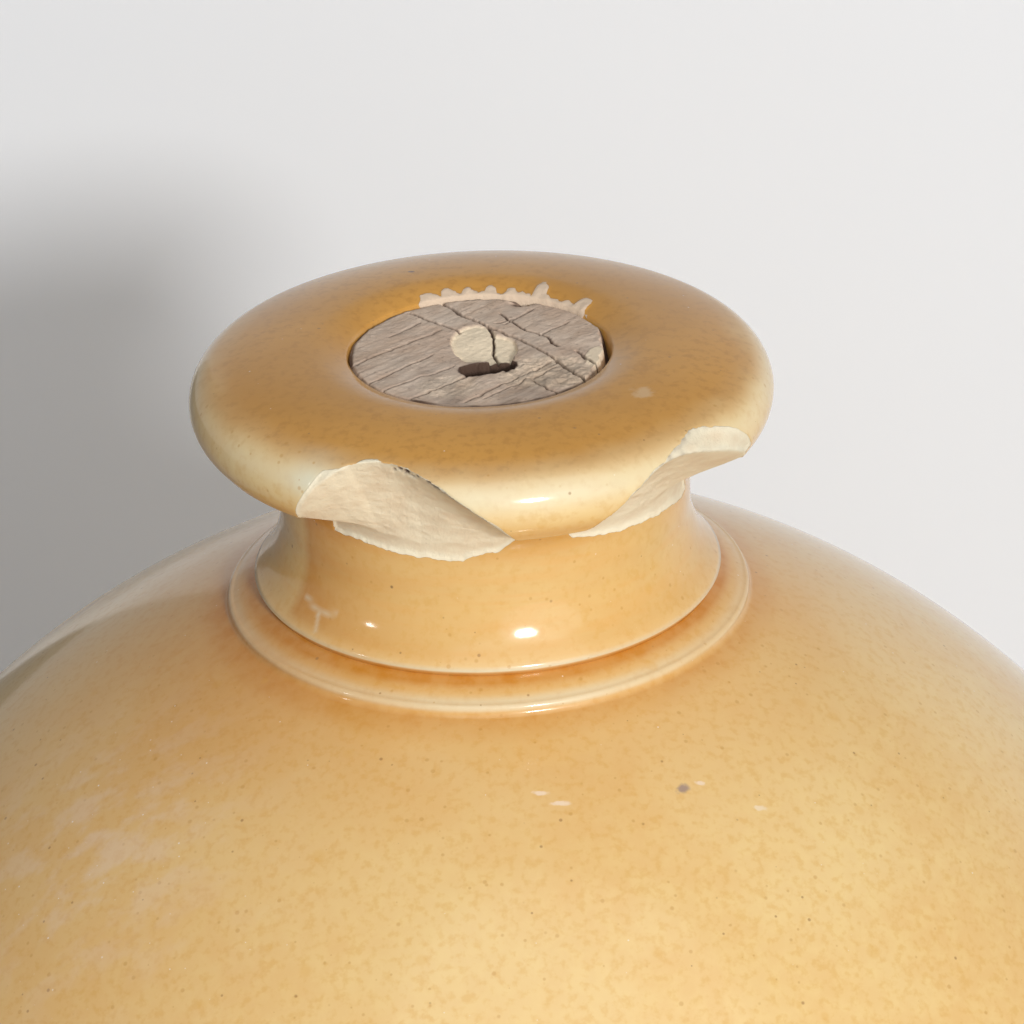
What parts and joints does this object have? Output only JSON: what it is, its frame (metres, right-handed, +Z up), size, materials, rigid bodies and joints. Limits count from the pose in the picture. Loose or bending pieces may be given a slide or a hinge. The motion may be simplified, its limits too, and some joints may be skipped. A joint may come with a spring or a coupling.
{
  "type": "corked stoneware jar",
  "caption": "Round-shouldered stoneware jar with a narrow flared neck on a turned collar, a chipped rolled rim and a flush wooden bung; holds drink or dry food and stands on a flat foot.",
  "frame": {"origin": "centre of the round foot, on the surface that the jar stands on", "axes": "+Z up along the jar's turning axis; the two rim chips face -Y, one towards -X and one towards +X"},
  "size_m": [0.248, 0.248, 0.392],
  "materials": {
    "glaze": "glossy honey-ochre glaze, paler where it is thin on edges and browner where it pools; bare buff clay in the two rim chips",
    "bung_wood": "dry weathered grey-brown wood with saw marks, cracks and a broken-out middle"
  },
  "bodies": {
    "root": {"jar": "glaze", "bung": "bung_wood"}
  },
  "joints": []
}
